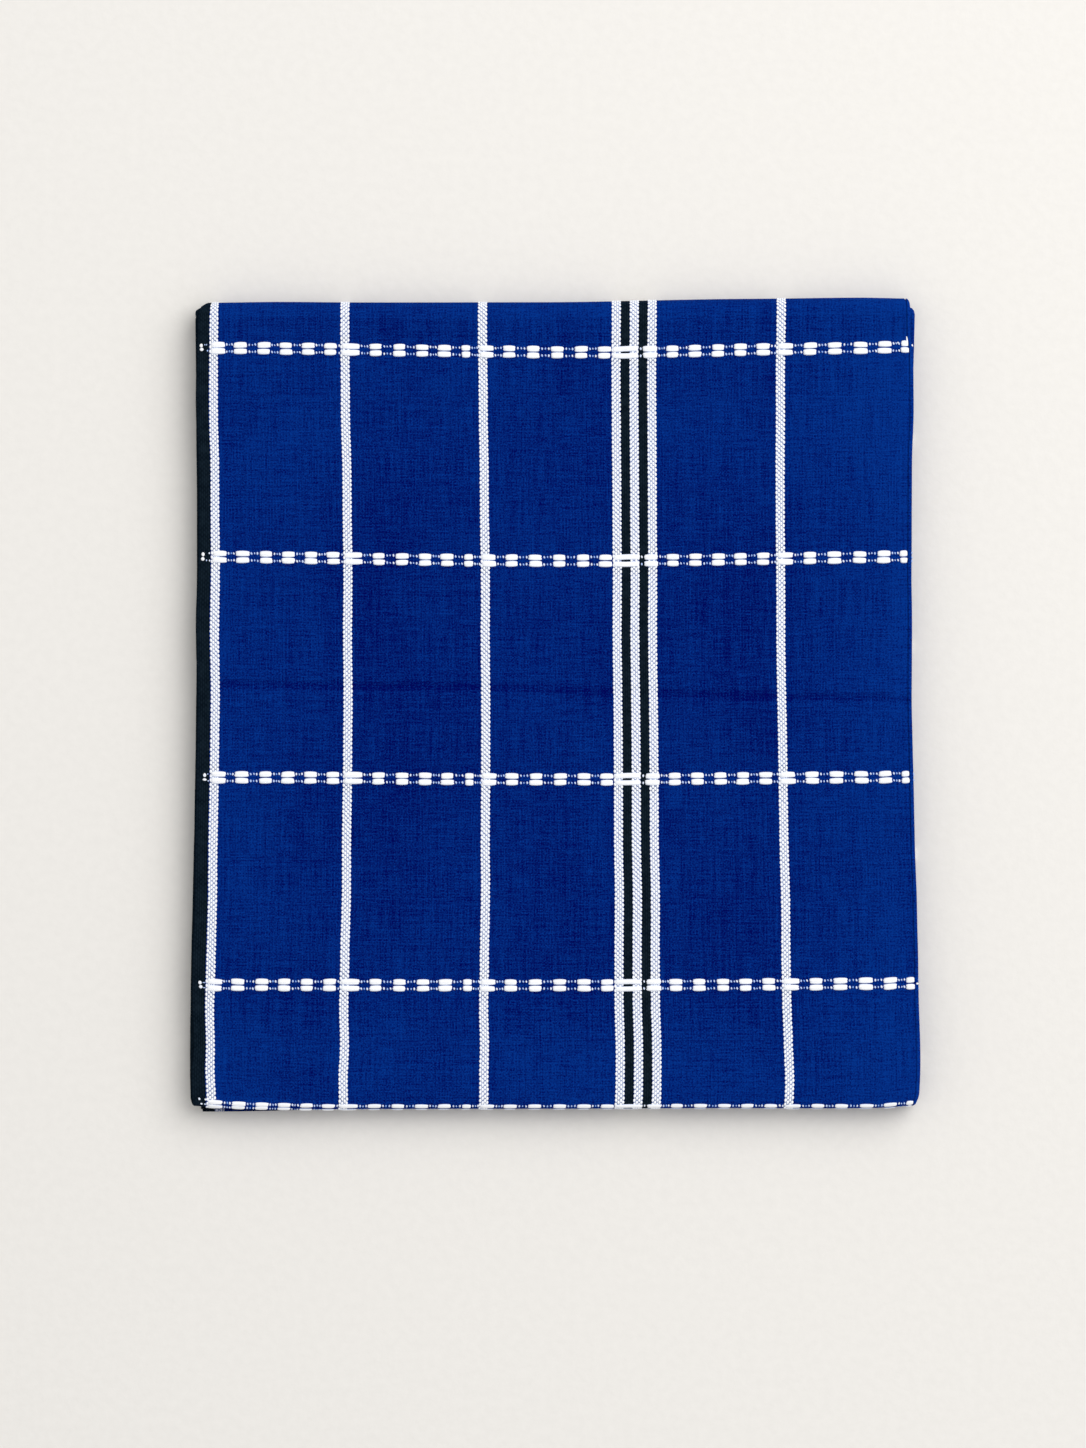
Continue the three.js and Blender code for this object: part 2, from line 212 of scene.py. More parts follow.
# Small bits of the thick yarn where it turns at a selvedge or slips past the fold. Each has its row,
# its place across, its place past the row's middle, its half sizes along and across, and its tint.
BITS = (
    (0, 1.4, -0.8, 0.8, 0.7, 0.0), (0, 1.6, 0.55, 0.66, 0.86, 0.05),
    (0, 2.8, -1.1, 0.3, 0.26, 0.6), (0, 3.5, -1.1, 0.3, 0.26, 0.6), (0, 3.9, 1.0, 0.4, 0.34, 0.7),
    (1, 1.6, -0.8, 0.84, 0.68, 0.0), (1, 1.5, 0.8, 0.74, 0.76, 0.0),
    (1, 4.0, -1.2, 0.4, 0.36, 0.25), (1, 2.9, 1.3, 0.35, 0.3, 0.5), (1, 4.1, 1.4, 0.42, 0.36, 0.25),
    (2, 2.8, -0.8, 0.8, 0.64, 0.05), (2, 2.8, 0.75, 0.5, 0.82, 0.05),
    (2, 3.9, -1.2, 0.3, 0.25, 0.7), (2, 4.1, 1.2, 0.32, 0.3, 0.5),
    (3, 2.6, -0.8, 0.74, 0.7, 0.05), (3, 2.9, 0.65, 0.7, 0.74, 0.1),
    (3, 4.0, -0.8, 0.2, 0.6, 0.6), (3, 4.1, 1.0, 0.2, 0.6, 0.5),
    (4, 2.3, -1.5, 0.5, 0.42, 0.2), (4, 3.0, 0.2, 0.36, 0.45, 0.2),
    (4, 4.3, -1.5, 0.4, 0.4, 0.1), (4, 4.2, 0.2, 0.3, 0.36, 0.4),
    (0, 250.0, -2.3, 1.6, 0.36, 0.0), (0, 251.4, -0.55, 0.5, 0.42, 0.05), (0, 246.3, -1.5, 0.36, 0.3, 0.2),
    (1, 251.3, -1.4, 0.34, 0.26, 0.7), (1, 251.4, 0.3, 0.4, 0.22, 0.8), (1, 251.4, 1.5, 0.4, 0.24, 0.7),
    (2, 251.4, -0.9, 0.8, 0.16, 0.6), (2, 251.3, 1.1, 0.4, 0.2, 0.75),
    (3, 250.9, 0.1, 0.4, 0.34, 0.1), (3, 251.3, -1.3, 0.3, 0.22, 0.7), (3, 251.6, 1.9, 0.5, 0.2, 0.55),
    (4, 249.3, -1.5, 0.42, 0.8, 0.0), (4, 248.9, 0.1, 0.5, 0.7, 0.1), (4, 251.4, 0.6, 0.45, 0.4, 0.4),
)
FLOAT_HEIGHT = 0.85
BUMP_SIDES = 8
# Each ring of a bump: its reach and height as shares
BUMP_RINGS = ((1.0, -0.2), (0.77, 0.78))
BUMP_OUTLINE = 1.1
# How blue the foot of a raised yarn is, and from where across a float
FOOT_TINT = 0.5
FOOT_FROM = 0.76

BLUE_DARK = (0.0001, 0.00105, 0.095)
BLUE_LIGHT = (0.0012, 0.0352, 0.262)
WHITE = (0.88, 0.89, 0.93)
# The colour between white warp ends: the blue weft mixed with white, darkened with painted shade
GAP_WEFT_AND_SHADE = (0.24, 0.29, 0.47)
FLOAT_BLUE = (0.12, 0.33, 0.82)
PALE_FLOOR = (0.79, 0.762, 0.717)
# Unevenness of the yarns: size across and along in millimetres, detail and roughness
YARN_NOISE = {
    "wander": (1.6, 1.6, 2.0, 0.5), "picks": (9.0, 0.5, 4.0, 0.65), "ends": (0.5, 16.0, 4.0, 0.65),
    "broad": (45.0, 60.0, 2.0, 0.5), "blotches": (3.5, 2.6, 3.0, 0.6), "bands": (6.0, 160.0, 2.0, 0.5),
    "slubs": (6.5, 0.4, 2.0, 0.5), "crossings": (0.6, 0.6, 1.0, 0.5), "wefts": (60.0, 1.0, 3.0, 0.5),
    "warps": (1.0, 110.0, 3.0, 0.5),
}
METRE = 0.001

# The photo's frame in millimetres, and the studio's light and floor in metres
CAMERA_XY = (-4.35, -6.65)
FRAME_HEIGHT = 1448 * 0.35
CAMERA_DISTANCE = 3000.0
KEY_LIGHT = {"size": 2.4, "energy": 48.3, "place": (1.25, 1.1, 1.9)}
WORLD_LIGHT = {"colour": (0.97, 0.98, 1.0, 1), "strength": 0.69}
FLOOR = {"half": 4.0, "z": -0.00005}


def smooth_through(table, at):
    """A cubic curve through the table's points, level past its ends."""
    xs = np.array([row[0] for row in table], float)
    ys = np.array([row[1] for row in table], float)
    slopes = np.zeros(len(xs))
    slopes[1:-1] = (ys[2:] - ys[:-2]) / (xs[2:] - xs[:-2])
    at = np.clip(at, xs[0], xs[-1])
    i = np.clip(np.searchsorted(xs, at, side="right") - 1, 0, len(xs) - 2)
    gap = xs[i + 1] - xs[i]
    share = (at - xs[i]) / gap
    back = 1 - share
    ends = (1 + 2 * share) * back**2 * ys[i] + share**2 * (3 - 2 * share) * ys[i + 1]
    return ends + gap * (share * back**2 * slopes[i] - share**2 * back * slopes[i + 1])


def smoothstep(at, low, high):
    share = np.clip((at - low) / (high - low), 0, 1)
    return share * share * (3 - 2 * share)


def blended(at, keys, values):
    """The values at the keys, blended smoothly between them and level past their ends."""
    total = values[0]
    for k in range(len(keys) - 1):
        total = total + smoothstep(at, keys[k], keys[k + 1]) * (values[k + 1] - values[k])
    return total


def bell(at, half_width):
    """1 at the middle, falling smoothly to 0 at the half width."""
    return np.cos(np.clip(at / half_width, -1, 1) * math.pi / 2) ** 2


class Unevenness:
    """Smooth noise from -1 to 1 over a plane: random values on a grid, blended between."""

    SIZE = 64

    def __init__(self, seed, cell_x, cell_y):
        self.values = np.random.default_rng(seed).uniform(-1, 1, (self.SIZE, self.SIZE))
        self.cells = (cell_x, cell_y)

    def at(self, x, y):
        columns, rows = x / self.cells[0], y / self.cells[1]
        i, j = np.floor(columns).astype(int), np.floor(rows).astype(int)
        a, b = smoothstep(columns - i, 0, 1), smoothstep(rows - j, 0, 1)

        def value(di, dj):
            return self.values[(i + di) % self.SIZE, (j + dj) % self.SIZE]

        near = value(0, 0) * (1 - a) + value(1, 0) * a
        far = value(0, 1) * (1 - a) + value(1, 1) * a
        return near * (1 - b) + far * b


# The path along the cloth
INNER_BACK_Y = BACK_Y - LAYER_HEIGHT - LAYER_GAP - INNER_FOLD_INSET
TIP_Y = {"outer": BACK_Y, "inner": INNER_BACK_Y, "front": FRONT_Y}
# Fold: upper layer, lower layer, way it points, whether the outer face is outside, way it is followed
FOLDS = {
    "outer": ("top", "bottom", 1, 1, -1),
    "front": ("top", "third", -1, 1, 1),
    "inner": ("third", "second", 1, -1, 1),
}
RADIUS = {name: (MIDDLE_Z[fold[0]] - MIDDLE_Z[fold[1]]) / 2 for name, fold in FOLDS.items()}
CENTRE_Z = {name: (MIDDLE_Z[fold[0]] + MIDDLE_Z[fold[1]]) / 2 for name, fold in FOLDS.items()}
CENTRE_Y = {
    name: TIP_Y[name] - fold[2] * (RADIUS[name] + LAYER_HEIGHT / 2) for name, fold in FOLDS.items()
}
PATH = (
    ("bottom", CENTRE_Y["outer"] - FRONT_Y),
    ("outer", math.pi * RADIUS["outer"]),
    ("top", CENTRE_Y["outer"] - CENTRE_Y["front"]),
    ("front", math.pi * RADIUS["front"]),
    ("third", CENTRE_Y["inner"] - CENTRE_Y["front"]),
    ("inner", math.pi * RADIUS["inner"]),
    ("second", CENTRE_Y["inner"] - FRONT_Y),
)
STARTS = dict(zip([name for name, _ in PATH], np.cumsum([0.0] + [length for _, length in PATH[:-1]])))
LENGTHS = dict(PATH)
CLOTH_LENGTH = sum(LENGTHS.values())
# The cloth's outer face is longer than the path round the outer and the front fold. These are matching
# places along both, the face's being true lengths.
FACE_SHARE = {name: RADIUS[name] / (RADIUS[name] + BEAD_INSET) for name in ("outer", "front")}
FACE_OUTER = STARTS["top"] - LENGTHS["outer"] / FACE_SHARE["outer"]
FACE_THIRD = STARTS["front"] + LENGTHS["front"] / FACE_SHARE["front"]
PATH_PLACES = (0.0, STARTS["outer"], STARTS["top"], STARTS["front"], STARTS["third"], CLOTH_LENGTH)
FACE_PLACES = (
    FACE_OUTER - LENGTHS["bottom"], FACE_OUTER, STARTS["top"], STARTS["front"], FACE_THIRD,
    FACE_THIRD + CLOTH_LENGTH - STARTS["third"],
)
# Layer: the y that it starts from, its way, which face is up, its fold at the back and its front end
RUNS = {
    "bottom": (FRONT_Y, 1, -1, "outer", "bottom_end"),
    "top": (CENTRE_Y["outer"], -1, 1, "outer", "front"),
    "third": (CENTRE_Y["front"], 1, -1, "inner", "front"),
    "second": (CENTRE_Y["inner"], -1, 1, "inner", "second_end"),
}


def face_to_path(v):
    return np.interp(v, FACE_PLACES, PATH_PLACES)


def path_to_face(s):
    return np.interp(s, PATH_PLACES, FACE_PLACES)


def edge_of(layer, side, y):
    return smooth_through([(row[0], row[side]) for row in EDGES[layer]], y)


def layer_edges(shares, y):
    """Left and right edge and the lower ply's step, mixed by each layer's share."""
    left = sum(share * edge_of(layer, 1, y) for layer, share in shares.items())
    right = sum(share * edge_of(layer, 2, y) for layer, share in shares.items())
    step = sum(share * SELVEDGE_STEP[layer] for layer, share in shares.items())
    return left, right, step


def corners_of(fold, y):
    """How far each of a fold's corners is drawn in at y."""
    from_tip = np.abs(TIP_Y[fold] - y)
    return {
        name: smooth_through([(row[0], row[1 + k]) for row in CORNERS[fold]], from_tip)
        for k, name in enumerate(("left_corner", "right_corner", "lower_corner"))
    }


def on_run(layer, r):
    start, way, up, back_fold, front_end = RUNS[layer]
    y = start + way * r
    share = np.clip(r / LENGTHS[layer], 0, 1)
    back = share if way > 0 else 1 - share
    left, right, step = layer_edges({layer: 1.0}, y)
    corners = corners_of(back_fold, y)
    if front_end == "front":
        front = corners_of("front", y)
        corners = {name: corners[name] + front[name] for name in corners}
    return {
        "y": y, "z": MIDDLE_Z[layer] + 0 * r, "up_y": 0 * r, "up_z": up + 0 * r,
        "left": left, "right": right, "step": step + 0 * r, "back": back, **corners,
        **{name: (1 - back) * (name == front_end) for name in DRIFT if name != "back"},
    }


def on_fold(name, r):
    upper, lower, way, outside, follow = FOLDS[name]
    angle = r / RADIUS[name] if follow > 0 else math.pi - r / RADIUS[name]
    arm_y, arm_z = way * np.sin(angle), np.cos(angle)
    y = CENTRE_Y[name] + RADIUS[name] * arm_y
    share = angle / math.pi
    left, right, step = layer_edges({upper: 1 - share, lower: share}, y)
    return {
        "y": y, "z": CENTRE_Z[name] + RADIUS[name] * arm_z, "up_y": outside * arm_y,
        "up_z": outside * arm_z, "left": left, "right": right, "step": step,
        **corners_of(name, y),
        "back": (way > 0) + 0 * r, "front": (way < 0) + 0 * r,
        "second_end": 0 * r, "bottom_end": 0 * r,
    }


def along(s):
    """The path at s: its place, its up direction, the cloth's edges there, and the share of each drift."""
    s = np.asarray(s, float)
    found = {}
    for name, length in PATH:
        here = (s >= STARTS[name]) if name != "bottom" else np.ones(s.shape, bool)
        if not here.any():
            continue
        r = s[here] - STARTS[name]
        part = on_run(name, r) if name in RUNS else on_fold(name, np.minimum(r, length))
        for key, value in part.items():
            found.setdefault(key, np.zeros(s.shape))[here] = value
    return found


ripples = Unevenness(11, 38, 52)
edge_waves = Unevenness(5, 11, 7)
edge_swings = Unevenness(6, 29, 7)


def swell(x, y):
    across = np.sin(2 * math.pi * x / WAVE_LENGTH["across"] + WAVE_PHASE["across"])
    around = np.sin(2 * math.pi * y / WAVE_LENGTH["along"] + WAVE_PHASE["along"])
    return (
        SWELL["right"] * smoothstep(x, *SWELL_FROM["right"])
        + SWELL["back"] * smoothstep(y, *SWELL_FROM["back"])
        + SWELL["waves"] * (1 + across * around) / 2
    )


def drifted(drifts, x):
    """A row's or the crease's drift at x."""
    return smooth_through(list(zip(ROW_DRIFT_AT, drifts)), x)


def from_crease(x, y):
    """How far behind the crease a place lies."""
    return y - CREASE["y"] - drifted(CREASE_DRIFT, x)


def edge_wave(s, side):
    """The small waves that a selvedge and a fold have."""
    row = np.full(s.shape, side * EDGE_WAVE["apart"])
    waves = EDGE_WAVE["fine"] * edge_waves.at(s, row) + EDGE_WAVE["broad"] * edge_swings.at(s, row)
    return EDGE_WAVE["height"] * waves


def from_fold(path, t):
    """How far t lies from the fold's apex along the cloth, and how far left of its outermost line."""
    width = path["right"] - path["left"] - BEAD_INSET + QUARTER_TURN
    from_apex = np.abs(1 - t) * width
    return from_apex, BEAD_INSET + np.maximum(from_apex - QUARTER_TURN, 0)


def surface(s, t, lift):
    """Points of the cloth at s and t, lift millimetres off its mid-surface, outward of the fold."""
    s, t, lift = np.broadcast_arrays(np.asarray(s, float), np.asarray(t, float), np.asarray(lift, float))
    path = along(s)
    left, right = path["left"], path["right"]
    side = np.where(t <= 1, 1.0, -1.0)
    from_apex, inset = from_fold(path, t)
    angle = np.minimum(from_apex / PLY_MIDDLE, math.pi / 2)
    on_flat = inset - BEAD_INSET
    pinch = NECK["pinch"] * bell(inset - NECK["inset"], NECK["half_width"]) * (on_flat > 0)
    x = right - inset + (PLY_MIDDLE + lift) * np.cos(angle)
    x = x - np.where(side < 0, path["step"] * on_flat / (right - left), 0)
    near_left = 1 - smoothstep(x - left, 0, CORNER_REACH)
    near_right = 1 - smoothstep(right - x, 0, CORNER_REACH)
    left_corner = np.where(side > 0, path["left_corner"], path["lower_corner"])
    x = x + (left_corner + edge_wave(s, 1)) * near_left
    x = x - (path["right_corner"] + edge_wave(s, 2)) * near_right
    height = (PLY_MIDDLE - pinch + lift) * side * np.sin(angle)
    drift = sum(path[name] * smooth_through(DRIFT[name], x) for name in DRIFT)
    from_end = np.minimum(s, CLOTH_LENGTH - s)
    short = LOWER_PLY_END_INSET * (1 - smoothstep(from_end, 0, LOWER_PLY_END_REACH))
    short = short * (side * path["up_z"] < 0)
    y = path["y"] + path["up_y"] * height + drift + short
    level = path["z"] + path["up_z"] * height
    low = CREASE["depth"] * bell(from_crease(x, y), CREASE["half_width"])
    low = low * (1 - CREASE["uneven"] + CREASE["uneven"] * ripples.at(x, 0 * y))
    uneven = UNEVEN_HEIGHT * ripples.at(x, y)
    z = level * (1 + swell(x, y) + uneven - low / STACK_HEIGHT)
    return np.stack([x, y - SOLID_CENTRE_Y, z], axis=-1)


# The pattern's own coordinates. The raised warp ends start a little up the outer fold, off the floor.
RAISED_FROM = STARTS["outer"] + 2.4
CREASE_S = STARTS["top"] + CENTRE_Y["outer"] - CREASE["y"]
OFF_CREASE = 50.0
ROW_S = tuple(STARTS["top"] + CENTRE_Y["outer"] - y for y, _ in TOP_ROWS) + (STARTS["front"],)


def row_shift(row, x):
    """How far row number row lies along s from its mean place, at x."""
    if row == len(TOP_ROWS):
        return drifted(FRONT_ROW, x)
    y, drifts = TOP_ROWS[row]
    path = on_run("top", np.array([CENTRE_Y["outer"] - y]))
    with_folds = sum(path[name] * smooth_through(DRIFT[name], x) for name in ("back", "front"))
    return with_folds - drifted(drifts, x)


def pattern_shift(s, x):
    """How far the weft lines lie along s from a straight pattern. It fades out past the visible rows."""
    keys = (STARTS["top"] - SHIFT_FADE[0], *ROW_S, STARTS["third"] + SHIFT_FADE[1])
    return blended(s, keys, [0 * x, *(row_shift(row, x) for row in range(len(ROW_S))), 0 * x])


def lean(u, s):
    """How far the warp lines lie to the right of a straight pattern on the top layer."""
    down = s - STARTS["top"] - CENTRE_Y["outer"]
    folded = HALF_WIDTH - np.abs(u - HALF_WIDTH)
    columns = [
        smooth_through([(row[0], row[1 + k]) for row in LEAN], folded) for k in range(len(LEAN_AT))
    ]
    on_top = smoothstep(s, STARTS["outer"] - LEAN_FADE, STARTS["outer"]) * (
        1 - smoothstep(s, STARTS["third"], STARTS["third"] + LEAN_FADE)
    )
    to_right = np.where(u <= HALF_WIDTH, 1, -1)
    return blended(down, -np.array(LEAN_AT), columns) * on_top * to_right


def across(u, s):
    """t of the pattern's place u at s."""
    return (u + lean(u, s)) / HALF_WIDTH


def pattern_place(s, t):
    """The pattern's u and v at places of the cloth."""
    u = t * HALF_WIDTH
    return u - lean(u, s), path_to_face(s) - pattern_shift(s, surface(s, t, 0)[..., 0])


def all_rows():
    """Mean places of every row of floats along the outer face, from free end to free end."""
    before = np.arange(ROW_S[0] - ROW_SPACING, FACE_PLACES[0] + 4, -ROW_SPACING)[::-1]
    after = np.arange(ROW_S[-1] + FRONT_ROW_MEAN + ROW_SPACING, FACE_PLACES[-1] - 4, ROW_SPACING)
    return [*before, *ROW_S, *after]


def spread(start, end, step_at):
    """Places from start to end, step_at apart there."""
    fine = np.linspace(start, end, 4001)
    steps = np.diff(fine) / step_at((fine[1:] + fine[:-1]) / 2)
    count = np.concatenate(([0.0], np.cumsum(steps)))
    return np.interp(np.linspace(0, count[-1], max(1, round(count[-1])) + 1), count, fine)


# Meshes
def mesh_object(name, points, faces, material):
    """A smooth-shaded mesh from points in millimetres."""
    mesh = bpy.data.meshes.new(name)
    mesh.from_pydata((np.asarray(points) * METRE).tolist(), [], faces)
    mesh.polygons.foreach_set("use_smooth", [True] * len(mesh.polygons))
    mesh.materials.append(material)
    mesh.update()
    piece = bpy.data.objects.new(name, mesh)
    bpy.context.scene.collection.objects.link(piece)
    return piece


def grid_faces(rows, columns, first=0, flip=False):
    """Quads of a grid of points numbered row by row."""
    i, j = np.meshgrid(np.arange(rows - 1), np.arange(columns - 1), indexing="ij")
    corner = first + i * columns + j
    quads = np.stack([corner, corner + 1, corner + columns + 1, corner + columns], axis=-1).reshape(-1, 4)
    return (quads[:, ::-1] if flip else quads).tolist()


def sheet_stations():
    """Places along the cloth with a row of the sheet's points, close together where they show."""
    rows = face_to_path(np.array(all_rows()))

    def top_step(s):
        near = np.min(np.abs(s[:, None] - ROW_S), axis=1)
        step = np.where(near < NEAR_ROW, SHEET_STEP["row"], SHEET_STEP["top"])
        behind, before = max(CREASE_DRIFT) + CREASE["half_width"], CREASE["half_width"] - min(CREASE_DRIFT)
        on_crease = (s > CREASE_S - behind) & (s < CREASE_S + before)
        return np.where(on_crease, SHEET_STEP["crease"], step)

    places = []
    for name, length in PATH:
        start = STARTS[name]
        step = SHEET_STEP.get(name, SHEET_STEP["hidden"])
        step_at = top_step if name == "top" else (lambda s, step=step: np.full(s.shape, step))
        places.append(spread(start, start + length, step_at)[:-1])
    places.append([CLOTH_LENGTH])
    places = np.concatenate(places)
    hidden = [row for row in rows if not STARTS["outer"] < row < STARTS["third"]]
    return np.unique(np.concatenate([places, hidden]))


def sheet_places():
    """Places across the cloth with a column of the sheet's points."""
    edge = np.array([0.0, 0.12, 0.3, 0.6, 1.2, 2.4]) / HALF_WIDTH
    upper = np.arange(5.2, HALF_WIDTH - 6, 3.1) / HALF_WIDTH
    neck = 1 - (NECK["inset"] - BEAD_INSET + QUARTER_TURN) / HALF_WIDTH
    beside = np.array([-3.4, -2.0, -1.2, -0.75, -0.42, -0.26, -0.12, 0, 0.12, 0.26, 0.42])
    near_neck = neck + beside / HALF_WIDTH
    quarter = QUARTER_TURN / HALF_WIDTH
    bead = np.linspace(1 - quarter, 1 + quarter, 11)
    lower = 2 - np.array([236.0, 200.0, 154.2, 101.0, 52.5, 20.0, 7.0]) / HALF_WIDTH
    after_bead = 1 + (1 - near_neck[:5][::-1])
    return np.unique(np.concatenate([edge, upper, near_neck, bead, after_bead, lower, 2 - edge]))


def cloth_sheet(material):
    """The whole sheet, folded: an outer and an inner face, closed round its four edges."""
    s = sheet_stations()
    t = sheet_places()
    rows, columns = len(s), len(t)
    s_grid, t_grid = np.meshgrid(s, t, indexing="ij")
    from_edge = np.minimum(t_grid, 2 - t_grid) * HALF_WIDTH
    thick = np.sqrt(np.clip(from_edge / EDGE_ROUNDING, EDGE_THINNEST, 1))
    _, inset = from_fold(along(s_grid), t_grid)
    dent = NECK["dent"] * bell(inset - NECK["inset"], NECK["dent_half_width"])
    u, v = pattern_place(s_grid, t_grid)
    to_row = np.min(np.abs(v[..., None] - np.array(all_rows())), axis=-1)
    on_top = smoothstep(s_grid, STARTS["top"] - 2, STARTS["top"] + 2) * (s_grid < STARTS["third"])
    dip = ROW_DIP["depth"] * bell(to_row - ROW_DIP["from_row"], ROW_DIP["half_width"])
    dip = dip * on_top * (t_grid < 1)
    outer = surface(s_grid, t_grid, OUTER_LIFT * thick - dent - dip).reshape(-1, 3)
    inner = surface(s_grid, t_grid, -INNER_LIFT * thick).reshape(-1, 3)
    count = rows * columns
    faces = grid_faces(rows, columns, 0, flip=True) + grid_faces(rows, columns, count)
    for i in range(rows - 1):
        a, b = i * columns, (i + 1) * columns
        faces.append([a, b, b + count, a + count])
        a, b = a + columns - 1, b + columns - 1
        faces.append([b, a, a + count, b + count])
    last = (rows - 1) * columns
    for j in range(columns - 1):
        faces.append([j + 1, j, j + count, j + 1 + count])
        faces.append([last + j, last + j + 1, last + j + 1 + count, last + j + count])
    piece = mesh_object("cloth_sheet", np.concatenate([outer, inner]), faces, material)
    raised = (s_grid > RAISED_FROM) & (s_grid < STARTS["third"] - 0.1) & (t_grid < 1 + 2 / HALF_WIDTH)
    on_crease = from_crease(outer[:, 0], outer[:, 1] + SOLID_CENTRE_Y)
    on_crease = np.where(on_top.ravel() > 0, on_crease, OFF_CREASE)
    add_maps(piece, u.ravel(), v.ravel(), to_row.ravel(), raised.ravel(), on_crease)
    add_bake_map(piece, s, t)
    return piece


def corner_points(mesh):
    """The point at each corner of each face."""
    points = np.zeros(len(mesh.loops), int)
    mesh.loops.foreach_get("vertex_index", points)
    return points


def set_values(piece, name, values):
    piece.data.attributes.new(name, "FLOAT", "POINT").data.foreach_set("value", values)


def add_maps(piece, u, v, to_row, raised, on_crease):
    """The weave's map in millimetres, distances to row and crease, and where yarns are raised."""
    place = corner_points(piece.data) % len(u)
    weave = piece.data.uv_layers.new(name="weave")
    weave.data.foreach_set("uv", np.stack([u[place], v[place]], axis=-1).ravel())
    for name, values in (("to_row", to_row), ("from_crease", on_crease)):
        set_values(piece, name, np.tile(values, 2))
    set_values(piece, "raised", np.concatenate([raised, 0 * raised]).astype(float))


def add_bake_map(piece, s, t):
    """A map with no overlaps, to bake the looks through. The top layer and its folds take most of it."""
    corners = corner_points(piece.data)
    count = len(s) * len(t)
    i, j = np.divmod(corners % count, len(t))
    here_s, here_t, inside = s[i], t[j], corners >= count

    def over_face(values, pick):
        return np.repeat(pick(values.reshape(-1, 4), axis=1), 4)

    middle_s, middle_t = over_face(here_s, np.mean), over_face(here_t, np.mean)
    inner_face = over_face(inside, np.min)
    at_selvedge = over_face(here_t, np.ptp) == 0
    at_end = over_face(here_s, np.ptp) == 0
    first, last = middle_s < s[1], middle_s > s[-2]
    shows = (middle_s > STARTS["outer"]) & (middle_s < STARTS["third"]) & (middle_t < BEAD_END)
    length = here_s / CLOTH_LENGTH
    top_length = (here_s - STARTS["outer"]) / (STARTS["third"] - STARTS["outer"])
    upper = middle_t < 1
    # Hidden layers give their selvedges and the fold across more room than the rest.
    width = np.interp(here_t, (0, 0.032, 0.984, 1.016, 1.968, 2), (0, 0.1, 0.45, 0.55, 0.9, 1))
    # Each patch: its faces, then the lowest and highest place and the share of the way, both ways
    patches = (
        (~inner_face, 0.73, 0.9, width, 0.004, 0.94, length),
        (~inner_face & shows, 0.004, 0.72, here_t / BEAD_END, 0.004, 0.94, top_length),
        (~inner_face & first, 0.004, 0.72, here_t / 2, 0.946, 0.957, here_s / s[1]),
        (~inner_face & last, 0.004, 0.72, here_t / 2, 0.961, 0.972, (here_s - s[-2]) / (s[-1] - s[-2])),
        (inner_face, 0.91, 0.96, here_t / 2, 0.004, 0.94, length),
        (at_selvedge & upper, 0.966, 0.974, inside, 0.004, 0.94, length),
        (at_selvedge & ~upper, 0.98, 0.988, inside, 0.004, 0.94, length),
        (at_end & first, 0.004, 0.72, here_t / 2, 0.976, 0.983, inside),
        (at_end & last, 0.004, 0.72, here_t / 2, 0.987, 0.994, inside),
    )
    places = np.zeros((len(corners), 2))
    for faces, left, right, share_u, low, high, share_v in patches:
        patch = np.stack([left + (right - left) * share_u, low + (high - low) * share_v], axis=-1)
        places[faces] = patch[faces]
    piece.data.uv_layers.new(name="OFBake").data.foreach_set("uv", places.ravel())


# Yarns that stand on the sheet
def float_bodies(floats, rng):
    """Points, faces and tints of thick floats. Each is s, u, length, line side, height and width share."""
    shares, laterals = np.array(FLOAT_ALONG), np.array(FLOAT_ACROSS)
    rows, columns = len(shares), len(laterals)
    ends = np.abs(2 * shares - 1)
    blunt = (1 - ends**9) ** 0.4
    rise = (1 - ends**5) ** 0.5
    outward = 0.8 + 0.25 * np.sin(math.pi * shares) ** 0.8
    grooves = np.exp(-((np.abs(laterals) - GROOVE["at"]) / GROOVE["half_width"]) ** 2)
    grooves = GROOVE["depth"] * grooves[None, :] * (1 - 0.5 * ends[:, None])
    round_up = np.clip(1 - np.abs(laterals) ** 2.6, 0, 1) ** 0.5
    strand = np.digitize(laterals, [-GROOVE["at"], GROOVE["at"]])
    points, faces = [], []
    foot = np.clip(np.abs(laterals) - FOOT_FROM, 0, 1) / (1 - FOOT_FROM)
    tints = np.tile(FOOT_TINT * foot, rows * len(floats))
    for number, (s, u, length, side, tall, wide) in enumerate(floats):
        meeting = 0.17 if length < LONG_FLOAT else -0.12
        inward = 0.98 + meeting * np.sin(math.pi * shares)
        half = np.where((laterals * side)[None, :] > 0, outward[:, None], inward[:, None]) * wide
        half = half * (0.62 + 0.38 * blunt)[:, None]
        turn = rng.uniform(-0.03, 0.03)
        du = (shares[:, None] - 0.5) * length + 0 * laterals[None, :]
        ds = half * laterals[None, :] + turn * du
        tips = rng.uniform(-0.12, 0.12, 3)
        du = du + tips[strand][None, :] * (2 * shares[:, None] - 1)
        height = FLOAT_HEIGHT * tall * rise[:, None] * round_up[None, :] * (1 - grooves)
        here_s = face_to_path(s + ds)
        lift = OUTER_LIFT - FLOAT_SINK + height
        points.append(surface(here_s, across(u + du, here_s), lift).reshape(-1, 3))
        first = number * rows * columns
        faces += grid_faces(rows, columns, first)
        for i in range(rows - 1):
            a, b = first + i * columns, first + (i + 1) * columns
            faces.append([b, b + columns - 1, a + columns - 1, a])
        faces.append([first + j for j in range(columns)][::-1])
        faces.append([first + (rows - 1) * columns + j for j in range(columns)])
    return np.concatenate(points), faces, tints


